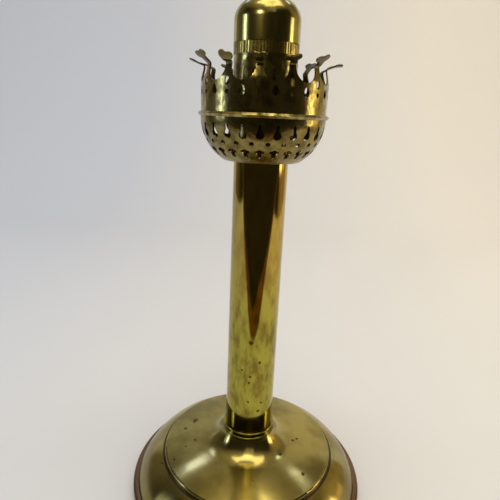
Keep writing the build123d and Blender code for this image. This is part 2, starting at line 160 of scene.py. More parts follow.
def add_stains(skin, stains, tone, fray):
    """Larger stains, each with its bearing from the front, radius, height and half width in millimetres.
    The distance to a stain, frayed by noise, falls from full cover to none."""
    tree = skin["tree"]
    noise = add(tree, "ShaderNodeTexNoise", {
        "Vector": skin["place"], "Scale": per_mm(fray_size), "Detail": 2.0})
    frayed = add(tree, "ShaderNodeVectorMath", {
        0: noise.outputs["Color"], 1: (fray * mm,) * 3, 2: skin["place"]}, operation="MULTIPLY_ADD")
    cover = 0.0
    for bearing, radius, height, half_width in stains:
        angle = np.radians(bearing)
        middle = np.array([radius * np.sin(angle), -radius * np.cos(angle), height]) + fray / 2
        gap = add(tree, "ShaderNodeVectorMath", {
            0: frayed.outputs["Vector"], 1: tuple(middle * mm)}, operation="DISTANCE")
        spot = add(tree, "ShaderNodeMapRange", {
            "Value": gap.outputs["Value"],
            "From Min": 0.5 * half_width * mm, "From Max": 1.1 * half_width * mm,
            "To Min": 0.85, "To Max": 0.0})
        larger = add(tree, "ShaderNodeMath", {0: spot.outputs["Result"], 1: cover}, operation="MAXIMUM")
        cover = larger.outputs["Value"]
    add_film(skin, cover, tone, stain_rough)


# %% [markdown]
# Relief is what tools and dents leave behind. It is far too fine to model, so a bump node tilts the normal
# by the slope of a height, given in real millimetres, and each bump takes up the one before it. A last
# function joins colour, roughness and relief to the shader, which is a plain metal.

# %% Relief and the finished metal
def add_relief(skin, height, depth):
    """Relief of this depth in millimetres, over the relief that is there already."""
    inputs = {"Height": height, "Strength": 1.0, "Distance": depth * mm}
    if skin["relief"]:
        inputs["Normal"] = skin["relief"][-1].outputs["Normal"]
    skin["relief"].append(add(skin["tree"], "ShaderNodeBump", inputs))


def add_waves(skin, size, depth):
    """Shallow waves and dents of one size in hand-worked metal, which make reflections wander."""
    waves = add(skin["tree"], "ShaderNodeTexNoise", {
        "Vector": skin["along"], "Scale": per_mm(size), "Detail": 1.0})
    add_relief(skin, waves.outputs["Fac"], depth)


def finish_brass(skin):
    """Join the layers to the shader of a plain metal."""
    tree = skin["tree"]
    shader = tree.nodes["Principled BSDF"]
    shader.inputs["Metallic"].default_value = 1.0
    tree.links.new(skin["tone"], shader.inputs["Base Color"])
    tree.links.new(skin["rough"], shader.inputs["Roughness"])
    tree.links.new(skin["relief"][-1].outputs["Normal"], shader.inputs["Normal"])
    print("finish:", skin["material"].name)
    return skin["material"]


# %% [markdown]
# The foot was spun: a disc of brass turned on a lathe while a tool pressed it over a former. That leaves
# fine rings round the axis, so its relief is a noise that depends on the distance from the axis alone. The
# finest rings are too small to draw: they blur a reflection across the grain and leave it sharp along it,
# which turns every light into a fan. Anisotropic roughness does that, with a tangent that runs round the
# axis. Handling has left a few dark stains on the bell and a browned rim. The outer shoulder is darker and
# duller, and the groove at the step is dark: partly dirt, partly painted shade that deepens the step.

# %% Foot finish
shoulder_start, shoulder_end = 52, 57
groove_radius, groove_half = 46.7, 0.65
browned_start, browned_end = 60.8, 61.6


def spun_foot_brass():
    """Satin brass with turned rings and scattered stains."""
    skin = start_brass("spun satin brass", "#ac9e5c", "#8c7e44", 22, (1, 1, 1), 0.15)
    tree = skin["tree"]
    flat = add(tree, "ShaderNodeVectorMath", {0: skin["place"], 1: (1, 1, 0)}, operation="MULTIPLY")
    from_axis = add(tree, "ShaderNodeVectorMath", {0: flat.outputs["Vector"]}, operation="LENGTH")
    radius = from_axis.outputs["Value"]
    rings = add(tree, "ShaderNodeTexNoise", {
        "W": radius, "Scale": per_mm(0.9), "Detail": 3.0}, noise_dimensions="1D")
    add_specks(skin, 6.0, 0.14, "#4a3a1e")
    stains = [
        (-111, 33.4, 26.6, 1.7), (-109, 33.6, 26.6, 1.4), (-98, 36.6, 26.1, 1.4), (-80, 29.6, 27.2, 1.1),
        (-78, 28.6, 27.2, 0.7), (-74, 35.0, 26.3, 0.9), (-65, 42.6, 25.1, 0.8), (-69, 48.4, 21.8, 0.8),
        (86, 25.6, 27.8, 1.1), (53, 22.2, 28.3, 1.9), (56, 20.8, 28.4, 1.4), (51, 37.9, 25.9, 1.2),
        (7, 31.5, 26.9, 0.7), (-52, 51.0, 19.6, 0.9), (38, 50.0, 20.4, 0.8)]
    add_stains(skin, stains, "#3c2c16", 1.2)
    # the outer shoulder grows darker and duller outwards
    darker_shoulder = add(tree, "ShaderNodeMapRange", {
        "Value": radius, "From Min": shoulder_start * mm, "From Max": shoulder_end * mm, "To Max": 0.55})
    add_film(skin, darker_shoulder.outputs["Result"], "#6e6038", 0.22)
    # painted shade: the dark film in the groove at the step is partly dirt and partly shade painted in to
    # deepen the step
    groove_dirt_and_shade = add(tree, "ShaderNodeMath", {
        0: radius, 1: groove_radius * mm, 2: groove_half * mm}, operation="COMPARE")
    add_film(skin, groove_dirt_and_shade.outputs["Value"], "#4c4024", 0.30)
    rim = add(tree, "ShaderNodeMapRange", {
        "Value": radius, "From Min": browned_start * mm, "From Max": browned_end * mm})
    add_film(skin, rim.outputs["Result"], "#7c624a", 0.25)
    add_waves(skin, 14, 0.03)
    add_relief(skin, rings.outputs["Fac"], 0.004)
    grain = add(tree, "ShaderNodeVectorMath", {0: (0, 0, 1), 1: skin["place"]}, operation="CROSS_PRODUCT")
    shader = tree.nodes["Principled BSDF"]
    shader.inputs["Anisotropic"].default_value = 0.85
    shader.inputs["Anisotropic Rotation"].default_value = 0.25
    tree.links.new(grain.outputs["Vector"], shader.inputs["Tangent"])
    return finish_brass(skin)


finishes["spun_brass"] = spun_foot_brass()

# %% [markdown]
# The tube was drawn through a die and polished along its length, so it mirrors sharply, and its faint
# clouds of tone are drawn out along it. Old lacquer gives it a greenish yellow low down, where a few brown
# spots sit on its front. Higher up the warmth of the flame has browned the lacquer.

# %% Tube finish
tube_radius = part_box("column_tube")[1].x / mm
warmed_start, warmed_end = 100, 150


def drawn_tube_brass():
    """Polished brass with drawn-out clouds and a few spots, browned towards the top."""
    skin = start_brass("drawn polished brass", "#a8a042", "#7c6c2e", 4.5, (1, 1, 0.4), 0.06)
    tree = skin["tree"]
    height = add(tree, "ShaderNodeSeparateXYZ", {"Vector": skin["place"]}).outputs["Z"]
    warmed = add(tree, "ShaderNodeMapRange", {
        "Value": height, "From Min": warmed_start * mm, "From Max": warmed_end * mm, "To Max": 0.6})
    add_film(skin, warmed.outputs["Result"], "#bc9a50", 0.08)
    spots = [(-2.6, 94.0, 1.3), (20, 82.6, 1.1), (-3, 71.1, 0.8), (-1, 74.6, 0.9),
             (-21, 77.9, 0.7), (29, 58.6, 0.8), (-3, 59.7, 0.7), (22, 53.8, 0.9)]
    stains = [(bearing, tube_radius, level, half_width) for bearing, level, half_width in spots]
    add_stains(skin, stains, "#4a3410", 0.7)
    add_specks(skin, 5.0, 0.10, "#5a4414")
    add_waves(skin, 9, 0.012)
    return finish_brass(skin)


finishes["polished_brass"] = drawn_tube_brass()

# %% [markdown]
# Bowl and crown were stamped from thin sheet and then bent, which leaves the metal slightly wavy: on
# polished brass that breaks every reflection into patches. The inside and the cut edges of the holes are
# painted dark: partly soot from the flame, partly painted shade. The bowl is darker and duller below the
# seam, and the finger tips have gone dull from the shades that were pushed between them. The inside is found
# by its
# normal: where it points towards the axis, its product with the outward direction is negative.

# %% Gallery finish
bowl_dulled, bowl_clean = 196.0, 201.0
tip_start, tip_end = 219.5, 224.0
beyond_sleeve = 20


def pressed_sheet_brass():
    """Wavy pressed brass, darker and duller below the seam, dark on faces that look inwards as painted shade
    and soot, and browned at the finger tips.
    """
    skin = start_brass("pressed brass sheet", "#a89a5a", "#645832", 4.5, (1, 1, 1), 0.18)
    tree = skin["tree"]
    flat = add(tree, "ShaderNodeVectorMath", {0: skin["place"], 1: (1, 1, 0)}, operation="MULTIPLY")
    outward = add(tree, "ShaderNodeVectorMath", {0: flat.outputs["Vector"]}, operation="NORMALIZE")
    normal = add(tree, "ShaderNodeTexCoord", {}).outputs["Normal"]
    facing = add(tree, "ShaderNodeVectorMath", {
        0: normal, 1: outward.outputs["Vector"]}, operation="DOT_PRODUCT")
    # painted shade: faces that look inwards, and the cut edges of the holes, are darkened as shade inside the
    # gallery and partly as soot from the flame
    inside_shade_and_soot = add(tree, "ShaderNodeMapRange", {
        "Value": facing.outputs["Value"], "From Min": -0.1, "From Max": 0.5, "To Min": 0.9, "To Max": 0.0})
    height = add(tree, "ShaderNodeSeparateXYZ", {"Vector": skin["place"]}).outputs["Z"]
    # the bowl grows darker and duller below the seam
    bowl_part = add(tree, "ShaderNodeMapRange", {
        "Value": height, "From Min": bowl_dulled * mm, "From Max": bowl_clean * mm,
        "To Min": 0.5, "To Max": 0.0})
    add_film(skin, bowl_part.outputs["Result"], "#6a5a32", 0.26)
    add_film(skin, inside_shade_and_soot.outputs["Result"], "#34260f", 0.55)
    high_up = add(tree, "ShaderNodeMapRange", {
        "Value": height, "From Min": tip_start * mm, "From Max": tip_end * mm, "To Max": 0.85})
    radius = add(tree, "ShaderNodeVectorMath", {0: flat.outputs["Vector"]}, operation="LENGTH")
    clear_of_sleeve = add(tree, "ShaderNodeMath", {
        0: radius.outputs["Value"], 1: beyond_sleeve * mm}, operation="GREATER_THAN")
    tips = add(tree, "ShaderNodeMath", {
        0: high_up.outputs["Result"], 1: clear_of_sleeve.outputs["Value"]}, operation="MULTIPLY")
    add_film(skin, tips.outputs["Value"], "#5c5030", 0.30)
    add_specks(skin, 3.0, 0.10, "#4a3820")
    add_waves(skin, 7, 0.07)
    add_waves(skin, 3.0, 0.12)
    return finish_brass(skin)


finishes["gallery_brass"] = pressed_sheet_brass()

# %% [markdown]
# The cap is polished too, but duller than the tube, with faint upright scratches from handling. The milled
# grip under it scatters light from seventy-two small flutes, so it looks duller still.
# The pieces that were turned on a lathe and stay inside the lamp keep a plain bright brass.

# %% Cap, grip and turned finishes
def cap_brass():
    """Polished brass with upright scratches."""
    skin = start_brass("polished cap brass", "#b6aa62", "#8a7e44", 4, (1, 1, 0.2), 0.15)
    add_specks(skin, 3.5, 0.07, "#40301a")
    add_waves(skin, 6, 0.02)
    scratches = add(skin["tree"], "ShaderNodeMapping", {"Vector": skin["place"], "Scale": (1, 1, 0.04)})
    streaks = add(skin["tree"], "ShaderNodeTexNoise", {
        "Vector": scratches.outputs["Vector"], "Scale": per_mm(0.7), "Detail": 2.0})
    add_relief(skin, streaks.outputs["Fac"], 0.006)
    return finish_brass(skin)


def milled_grip_brass():
    """Duller brass of the fluted ring."""
    skin = start_brass("milled brass", "#a8964c", "#86763a", 4, (1, 1, 1), 0.20)
    add_specks(skin, 2.0, 0.20, "#3c2e16")
    add_waves(skin, 2, 0.01)
    return finish_brass(skin)


def lathe_brass():
    """Plain turned brass of the hidden pieces."""
    skin = start_brass("turned brass", "#b8a05a", "#a08a4a", 8, (1, 1, 1), 0.22)
    add_specks(skin, 4.0, 0.05, "#5a4628")
    add_waves(skin, 3, 0.01)
    return finish_brass(skin)


finishes["cap_brass"] = cap_brass()
finishes["turned_brass"] = lathe_brass()
grip_finish = milled_grip_brass()

# %% [markdown]
# The ballast, the clamp and the spring are iron and steel. None of them shows while the lamp stands, but
# the plate, rod, washer and nut do when it is turned over, and the rest when it is taken apart, so they get a
# real surface too: the ballast has the skin of a sand casting, the clamp is plain steel that has dulled, and
# the spring is smooth drawn wire.

# %% Iron and steel
def iron_or_steel(name, light, dark, metallic, rough, grit_size, grit_depth):
    """Mottled ferrous metal: noise eight times as coarse as the grit mixes two greys and sways the
    roughness a little, and finer noise raises the grit."""
    sway = 0.08
    material = bpy.data.materials.new(name)
    material.use_nodes = True
    tree = material.node_tree
    shader = tree.nodes["Principled BSDF"]
    place = add(tree, "ShaderNodeTexCoord", {}).outputs["Object"]
    mottle = add(tree, "ShaderNodeTexNoise", {
        "Vector": place, "Scale": per_mm(8 * grit_size), "Detail": 6.0, "Roughness": 0.65})
    tone = add(tree, "ShaderNodeMix", {
        0: mottle.outputs["Fac"], 6: colour(dark), 7: colour(light)}, data_type="RGBA")
    grit = add(tree, "ShaderNodeTexNoise", {"Vector": place, "Scale": per_mm(grit_size), "Detail": 4.0})
    bump = add(tree, "ShaderNodeBump", {
        "Height": grit.outputs["Fac"], "Strength": 0.6, "Distance": grit_depth * mm})
    polish = add(tree, "ShaderNodeMapRange", {
        "Value": mottle.outputs["Fac"], "To Min": rough - sway, "To Max": rough + sway})
    shader.inputs["Metallic"].default_value = metallic
    tree.links.new(tone.outputs[2], shader.inputs["Base Color"])
    tree.links.new(polish.outputs["Result"], shader.inputs["Roughness"])
    tree.links.new(bump.outputs["Normal"], shader.inputs["Normal"])
    print("finish:", name)
    return material


finishes["cast_iron"] = iron_or_steel("sand-cast iron", "#4a4a4c", "#2c2c2e", 0.6, 0.62, 0.8, 0.15)
finishes["plate_steel"] = iron_or_steel("dull plate steel", "#a4a4a2", "#7c7c7c", 1.0, 0.38, 0.5, 0.01)
finishes["spring_steel"] = iron_or_steel("drawn spring wire", "#8a8a90", "#5c5c62", 1.0, 0.30, 0.5, 0.01)

# %% [markdown]
# The gallery holds a glass shade. Its bowl and crown are pressed from thin brass sheet: on the bench
# the holes are stamped in a flat blank, and the blank is then drawn or rolled to shape. The same order
# works here. A field says how far a point of the flat blank lies outside the metal, in millimetres, so
# round holes, lobes and scallops are short formulas. A grid is laid over the blank, the cells outside
# are left out, and the corners near an edge slide on to it, which gives clean round edges. Only then is
# the blank bent to its place. Booleans on a solid would do it too, but leave long thin triangles.

# %% A pierced blank from a field
edge_passes, slope_probe, least_slope = 5, 0.01, 0.2


def soft_union(one, other, blend):
    """The smaller of two distances, with a fillet of about the blend where they cross."""
    share = np.clip(0.5 + 0.5 * (other - one) / blend, 0, 1)
    return other + (one - other) * share - blend * share * (1 - share)


def pierced_blank(repeat, copies, length, step, field, place):
    """Points and cells of a blank with a pattern that repeats round the axis. Field(u, v) is the distance
    outside the metal. Corners less than half a step inside an edge, or outside it, slide by
    field * gradient / gradient^2 until the field is 0. Cells with no corner deeper inside are left out."""
    columns, rows = round(repeat / step), round(length / step)
    along_v = np.linspace(0, length, rows + 1)
    along_u = (np.arange(columns) / columns - 0.5) * repeat
    v, u = np.meshgrid(along_v, along_u, indexing="ij")
    before = field(u, v)
    near_edge = before > -step / 2
    for _ in range(edge_passes):
        gap = field(u, v)
        slope_u = (field(u + slope_probe, v) - field(u - slope_probe, v)) / (2 * slope_probe)
        slope_v = (field(u, v + slope_probe) - field(u, v - slope_probe)) / (2 * slope_probe)
        slide = np.where(near_edge, gap / np.maximum(slope_u ** 2 + slope_v ** 2, least_slope), 0)
        u = u - slide * slope_u
        v = v - slide * slope_v
    points = np.concatenate([place(u, v, copy) for copy in range(copies)], axis=1) * mm

    index = np.arange((rows + 1) * columns * copies).reshape(rows + 1, -1)
    beside = np.roll(index, -1, axis=1)
    cells = np.stack([index[:-1], beside[:-1], beside[1:], index[1:]], -1).reshape(-1, 4)
    deepest = np.tile(before, copies).reshape(-1)[cells].min(axis=1)
    cells = cells[deepest < -step / 2]
    used, renumbered = np.unique(cells, return_inverse=True)
    return points.reshape(-1, 3)[used], renumbered.reshape(-1, 4)


# %% [markdown]
# A blank has no thickness yet. A Solidify modifier gives it some, half to each side, as the sheet's middle is
# what was worked out. The modifier is then made final. Faces are shaded smooth, and edges that turn sharply
# stay crisp, so that the cut of each hole shows.

# %% Sheet metal from a blank
sheet_wall, sheet_step, crisp_angle = 0.6, 0.4, 40


def smooth_mesh(name, points, faces):
    """New object in the scene from points in metres and faces, all shaded smooth."""
    mesh = bpy.data.meshes.new(name)
    mesh.from_pydata(points.reshape(-1, 3).tolist(), [], faces)
    mesh.polygons.foreach_set("use_smooth", np.ones(len(mesh.polygons), bool))
    made = bpy.data.objects.new(name, mesh)
    bpy.context.scene.collection.objects.link(made)
    return made


def pierced_sheet(name, repeat, copies, length, field, place):
    """Sheet metal with the wall of the gallery, from a pierced blank."""
    points, cells = pierced_blank(repeat, copies, length, sheet_step, field, place)
    sheet = smooth_mesh(name, points, cells.tolist())
    thicken = sheet.modifiers.new("sheet_metal", "SOLIDIFY")
    thicken.thickness = sheet_wall * mm
    thicken.offset = 0
    solid = bpy.data.meshes.new_from_object(sheet.evaluated_get(bpy.context.evaluated_depsgraph_get()))
    sheet.modifiers.clear()
    sheet.data = solid
    solid.polygons.foreach_set("use_smooth", np.ones(len(solid.polygons), bool))
    solid.set_sharp_from_angle(angle=np.radians(crisp_angle))
    print(name, "has", len(solid.polygons), "faces")
    return sheet


# %% [markdown]
# The crown is a band with a scalloped top that runs out into thirteen fingers. Each finger is a strip
# with a bow-tie head. The crown stands inside the rim of the bowl, so its radius comes from the frame, and
# the pitch of the fingers and the radius of the scallops follow from it. All sizes are in millimetres.

# %% Crown sizes
bowl_low, bowl_high = (np.array(corner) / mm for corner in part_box("gallery_bowl"))
rim_radius = bowl_high[0]
crown_inset = 0.1
crown_middle = rim_radius - crown_inset - sheet_wall / 2
crown_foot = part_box("gallery_crown")[0][2] / mm

finger_count = 13
finger_pitch = 2 * np.pi * crown_middle / finger_count
band_height, stem_width, stem_height, stem_lean = 12.0, 2.8, 6.7, 1.5
gap_radius = (finger_pitch - stem_width) / 2
scallop_middle = band_height + gap_radius
bend_level = band_height + stem_height
arm_reach, lobe_radius, lobe_offset, head_waist = 5.4, 1.55, 1.6, 1.1
head_middle = bend_level + arm_reach
finger_end = head_middle + lobe_radius
print("finger pitch", round(finger_pitch, 2), "mm, flat finger", round(finger_end, 2), "mm from foot to end")

# %% [markdown]
# On the flat blank one finger with its stretch of band is drawn, and it repeats thirteen times. Under the
# finger are a long hole and a round one, and a drop with a point lies between two fingers.

# %% Crown blank
long_hole_middle, long_hole_half, long_hole_radius = 11.6, 0.75, 0.95
round_hole_middle, round_hole_radius = 7.6, 0.95
drop_middle, drop_radius, point_middle, point_reach = 8.0, 1.5, 9.5, 1.1
waist_blend, head_blend, point_blend = 0.5, 0.8, 0.3


def crown_field(u, v):
    """Band cut by round scallops, a strip up the finger and a bow tie of two round lobes, less the long
    hole and the round hole under each finger and the drop between two fingers."""
    side = np.abs(u)
    between = finger_pitch / 2 - side
    scallop = gap_radius - np.hypot(between, v - scallop_middle)
    strip = np.where(v < scallop_middle, scallop, side - stem_width / 2)
    strip = np.maximum(strip, v - head_middle)
    lobes = np.hypot(side - lobe_offset, v - head_middle) - lobe_radius
    waist = np.maximum(side - lobe_offset, np.abs(v - head_middle) - head_waist)
    metal = soft_union(strip, soft_union(lobes, waist, waist_blend), head_blend)
    long_hole = np.hypot(u, np.maximum(np.abs(v - long_hole_middle) - long_hole_half, 0)) - long_hole_radius
    round_hole = np.hypot(u, v - round_hole_middle) - round_hole_radius
    point = (between + np.abs(v - point_middle) - point_reach) / np.sqrt(2)
    drop = soft_union(np.hypot(between, v - drop_middle) - drop_radius, point, point_blend)
    return np.maximum(metal, -np.minimum(np.minimum(long_hole, round_hole), drop))


# %% [markdown]
# The fingers are bent outwards to spring against the shade. Years of use have left every finger at its own
# angle, so four short lists say how each one is bent, in degrees: how far its arm rises, how its head is
# turned up or down, how the arm is twisted, and how it swings to one side. They count from the front.

# %% Crown
first_finger = -4.7
lifts = [12, 14, 30, 20, 26, 48, 30, 26, 30, 24, 20, 38, 6]
head_bends = {0: 20, 1: 10, 2: 4, 3: -14, 9: -10, 12: 55}
twists = {6: 10, 11: -6}
swings = {1: -26, 2: -30, 3: 4, 8: 8, 12: 18}
finger_step, lean_run, bend_half, swing_run = 0.05, 2.0, 0.8, 2.0
head_bend_start, head_bend_end = head_middle - 2.4, head_middle - 0.8


def ease(value, start, end):
    """Smooth step from 0 at the start to 1 at the end."""
    share = np.clip((value - start) / (end - start), 0, 1)
    return share * share * (3 - 2 * share)


def bend_finger(u, v, finger):
    """Carry the flat blank along a bent line. The line rises up the band, leans in along the stem, turns
    outwards at the bend and once more at the head; across it, the sheet keeps the roundness of the band."""
    line = np.arange(0, finger_end + 2 * sheet_step, finger_step)
    lean = np.arctan(stem_lean / stem_height)
    outward = np.pi / 2 - np.radians(lifts[finger]) + lean
    turn = -lean * ease(line, band_height, band_height + lean_run)
    turn += outward * ease(line, bend_level - bend_half, bend_level + bend_half)
    turn -= np.radians(head_bends.get(finger, 0)) * ease(line, head_bend_start, head_bend_end)
    swing = np.radians(swings.get(finger, 0)) * ease(line, bend_level, bend_level + swing_run)
    twist = np.radians(twists.get(finger, 0)) * ease(line, bend_level, head_middle)
    angle = np.radians(first_finger) + 2 * np.pi * finger / finger_count
    out = np.array([np.sin(angle), -np.cos(angle), 0])
    across = np.array([np.cos(angle), np.sin(angle), 0])
    rise = np.array([0, 0, 1.0])

    turn, swing, twist = turn[:, None], swing[:, None], twist[:, None]
    along = np.sin(turn) * out + np.cos(turn) * rise
    face = np.cos(turn) * out - np.sin(turn) * rise
    heading = np.cos(swing) * along + np.sin(swing) * across
    sideways = np.cos(swing) * across - np.sin(swing) * along
    width = np.cos(twist) * sideways + np.sin(twist) * face
    face = np.cos(twist) * face - np.sin(twist) * sideways
    step = np.diff(line, append=line[-1])[:, None]
    centre = crown_middle * out + crown_foot * rise + np.cumsum(heading * step, axis=0) - heading * step

    def at(table):
        return np.stack([np.interp(v, line, table[:, axis]) for axis in range(3)], -1)

    roll = (u / crown_middle)[..., None]
    return at(centre) + crown_middle * (np.sin(roll) * at(width) - (1 - np.cos(roll)) * at(face))


crown = pierced_sheet("crown_sheet", finger_pitch, finger_count, finger_end + sheet_step,
                      crown_field, bend_finger)
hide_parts("gallery_crown")
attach(crown, "gallery")

# %% [markdown]
# The bowl under the crown lets air rise to the flame. Its wall is an arc that stands upright at the rim
# and runs in to a flat floor round the sleeve. The arc is tangent to the upright at the rim and ends at the
# edge of the floor, which fixes its radius.

# %% Bowl line
floor_radius, floor_edge, floor_round, sleeve_room = 17.9, 0.45, 0.8, 14.35
drop_height = bowl_high[2] - bowl_low[2] - floor_edge
arc_radius = ((rim_radius - floor_radius) ** 2 + drop_height ** 2) / (2 * (rim_radius - floor_radius))
wall_radius = arc_radius - sheet_wall / 2
end_turn = np.arcsin(drop_height / arc_radius)
arc_trim = 0.5
arc_length = wall_radius * end_turn - arc_trim
longest_line, line_step = 40, 0.02


def bowl_line():
    """Arc length, radius and height along the middle of the sheet: down the arc, round the edge and
    along the floor. Radius and height are sums of small steps in the direction of the turn."""
    line = np.arange(0, longest_line, line_step)
    turn = np.where(line < arc_length, line / wall_radius, arc_length / wall_radius)
    turn += (np.pi / 2 - arc_length / wall_radius) * ease(line, arc_length, arc_length + 2 * floor_round)
    radius = rim_radius - sheet_wall / 2 + np.cumsum(-np.sin(turn)) * line_step
    height = bowl_high[2] + np.cumsum(-np.cos(turn)) * line_step
    kept = radius > sleeve_room
    return line[kept], radius[kept], height[kept]


bowl_lengths, bowl_radii, bowl_heights = bowl_line()
print("bowl line", round(bowl_lengths[-1], 2), "mm from the rim to the sleeve")

# %% [markdown]
# Three rows of holes go round the bowl twenty-four times: bottle shapes, dots and small crosses. Along the
# arc the blank keeps its length, and round the axis it draws in, so the field measures the sideways distance
# at the radius that the metal ends up at.

# %% Bowl
bowl_repeats, first_bowl_hole = 24, -2.0
bowl_pitch = 2 * np.pi * rim_radius / bowl_repeats
neck_middle, neck_half, neck_radius = 4.5, 1.2, 0.75
bottle_middle, bottle_radius = 7.0, 1.7
dot_middle, dot_radius = 10.6, 1.05
upright_middle, upright_half, bar_middle, bar_half, bar_radius = 15.6, 1.6, 14.6, 1.15, 0.85
bottle_blend, cross_blend = 0.9, 0.5


def bowl_field(u, v):
    """Metal everywhere but in the holes: a bottle is a disc under a neck, a cross is two rounded bars."""
    draw_in = np.interp(v, bowl_lengths, bowl_radii) / rim_radius
    side = np.abs(u) * draw_in
    between = (bowl_pitch / 2 - np.abs(u)) * draw_in
    neck = np.hypot(side, np.maximum(np.abs(v - neck_middle) - neck_half, 0)) - neck_radius
    bottle = soft_union(neck, np.hypot(side, v - bottle_middle) - bottle_radius, bottle_blend)
    dot = np.hypot(between, v - dot_middle) - dot_radius
    upright = np.hypot(side, np.maximum(np.abs(v - upright_middle) - upright_half, 0)) - bar_radius
    bar = np.hypot(np.maximum(side - bar_half, 0), v - bar_middle) - bar_radius
    return -np.minimum(np.minimum(bottle, dot), soft_union(upright, bar, cross_blend))


def draw_bowl(u, v, repeat):
    """Spin the blank: the angle comes from u at the rim, radius and height from the line."""
    angle = u / rim_radius + np.radians(first_bowl_hole) + 2 * np.pi * repeat / bowl_repeats
    radius = np.interp(v, bowl_lengths, bowl_radii)
    height = np.interp(v, bowl_lengths, bowl_heights)
    return np.stack([radius * np.sin(angle), -radius * np.cos(angle), height], -1)


bowl = pierced_sheet("bowl_sheet", bowl_pitch, bowl_repeats, bowl_lengths[-1], bowl_field, draw_bowl)
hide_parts("gallery_bowl")
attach(bowl, "gallery")
for sheet in (crown, bowl):
    sheet.data.materials.append(finishes["gallery_brass"])

# %% [markdown]
# The feed spring is hard wire wound into an even coil. It stands on the plug inside the tube and presses the
# follower with its candle up against the cap. A real spring grows shorter as the follower is pushed down, but
# the CAD coil is rigid. A coil of the same size takes its place, and it is rigid too: a circle of wire
# carried along a helix.

# %% Feed spring
wire_radius, coil_radius, coil_turns = 0.6, 9.5, 26
wire_sides, steps_per_turn = 10, 36
coil_low, coil_high = (corner.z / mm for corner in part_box("feed_spring"))
climb = (coil_high - coil_low - 2 * wire_radius) / (2 * np.pi * coil_turns)
slope = np.arctan2(climb, coil_radius)


def wind(turn, around):
    """Point on the wire, in mm. The middle of the wire runs along (R cos t, R sin t, foot + climb t). The
    circle about it spans the way out (cos t, sin t, 0) and the way up (sin t sin s, -cos t sin s, cos s),
    where s is the slope of the helix."""
    out, up = wire_radius * np.cos(around), wire_radius * np.sin(around)
    return np.stack([
        (coil_radius + out) * np.cos(turn) + up * np.sin(slope) * np.sin(turn),
        (coil_radius + out) * np.sin(turn) - up * np.sin(slope) * np.cos(turn),
        coil_low + wire_radius + climb * turn + up * np.cos(slope)], -1)


turns = 2 * np.pi * np.arange(coil_turns * steps_per_turn + 1) / steps_per_turn
sides = 2 * np.pi * np.arange(wire_sides) / wire_sides
wire_points = wind(turns[:, None], sides[None, :]) * mm
index = np.arange(turns.size * wire_sides).reshape(-1, wire_sides)
beside = np.roll(index, -1, axis=1)
wire_faces = np.stack([index[:-1], index[1:], beside[1:], beside[:-1]], -1).reshape(-1, 4).tolist()
wire_ends = [index[0].tolist(), index[-1, ::-1].tolist()]
coil = smooth_mesh("spring_coil", wire_points, wire_faces + wire_ends)
coil.data.materials.append(finishes["spring_steel"])
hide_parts("feed_spring")
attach(coil, "stand")

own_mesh(coil)

# %% [markdown]
# Every CAD piece now takes the finish of its material slot. Only the milled grip has one of its own.

# %% Give every CAD piece its finish
for subpart in frame["record"]["subparts"]:
    mesh = nodes[subpart["node"]].data
    mesh.materials.clear()
    mesh.materials.append(finishes[subpart["material_slot"]])
    print(subpart["node"], "takes", subpart["material_slot"])
nodes["grip_ring"].data.materials[0] = grip_finish

# %% [markdown]
# Polished metal has no look of its own: it shows what stands around it. So the stage matters as much as
# the finish. The lamp stands on a pale sheet that sweeps up behind it in a quarter circle. A wider floor of
# the same tone goes on to all sides, for views from elsewhere, and reflections do not show it.

# %% Floor and backdrop
def grid_mesh(name, points):
    """Mesh of a grid: points[i, j] is a corner, and each cell is one four-sided face."""
    rows, columns = points.shape[:2]
    index = np.arange(rows * columns).reshape(rows, columns)
    faces = np.stack([index[:-1, :-1], index[1:, :-1], index[1:, 1:], index[:-1, 1:]], -1).reshape(-1, 4)
    made = smooth_mesh(name, points, faces.tolist())
    print(name, "has", len(faces), "faces")
    return made


sheet_left, sheet_right, sheet_front, sheet_back = -0.85, 0.70, -0.9, 0.55
cove_radius, wall_height = 0.45, 1.5
turn = np.linspace(0, np.pi / 2, 25)
run = np.concatenate([[sheet_front], sheet_back + cove_radius * np.sin(turn), [sheet_back + cove_radius]])
rise = np.concatenate([[0.0], cove_radius * (1 - np.cos(turn)), [wall_height]])
across = np.linspace(sheet_left, sheet_right, 3)
sweep_points = np.broadcast_arrays(across[None, :], run[:, None], rise[:, None])
sweep = grid_mesh("paper_sweep", np.stack(sweep_points, -1))

floor_reach, floor_drop = 6.0, 0.0005
ends = np.array([-floor_reach, floor_reach])
floor_points = np.broadcast_arrays(ends[None, :], ends[:, None], -floor_drop)
floor = grid_mesh("wide_floor", np.stack(floor_points, -1))
floor.visible_glossy = False

# %% [markdown]
# The sheet is plain matt paper, made from pulp and left uncoated, so it hardly shines at all. The light on it
# is a little cooler on the left and warmer on the right, and its tint helps that along.

# %% Paper
cool_end, warm_end = -0.30, 0.40
paper = bpy.data.materials.new("pale paper sweep")
paper.use_nodes = True
tree = paper.node_tree
place = add(tree, "ShaderNodeTexCoord", {}).outputs["Object"]
side = add(tree, "ShaderNodeSeparateXYZ", {"Vector": place})
warmth = add(tree, "ShaderNodeMapRange", {
    "Value": side.outputs["X"], "From Min": cool_end, "From Max": warm_end})
tint = add(tree, "ShaderNodeMix", {
    0: warmth.outputs["Result"], 6: colour("#dadce0"), 7: colour("#fcf4e4")}, data_type="RGBA")
shader = tree.nodes["Principled BSDF"]
shader.inputs["Roughness"].default_value = 0.9
shader.inputs["Specular IOR Level"].default_value = 0.1
tree.links.new(tint.outputs[2], shader.inputs["Base Color"])
for stage in (sweep, floor):
    stage.data.materials.append(paper)
    print(stage.name, "takes", paper.name)
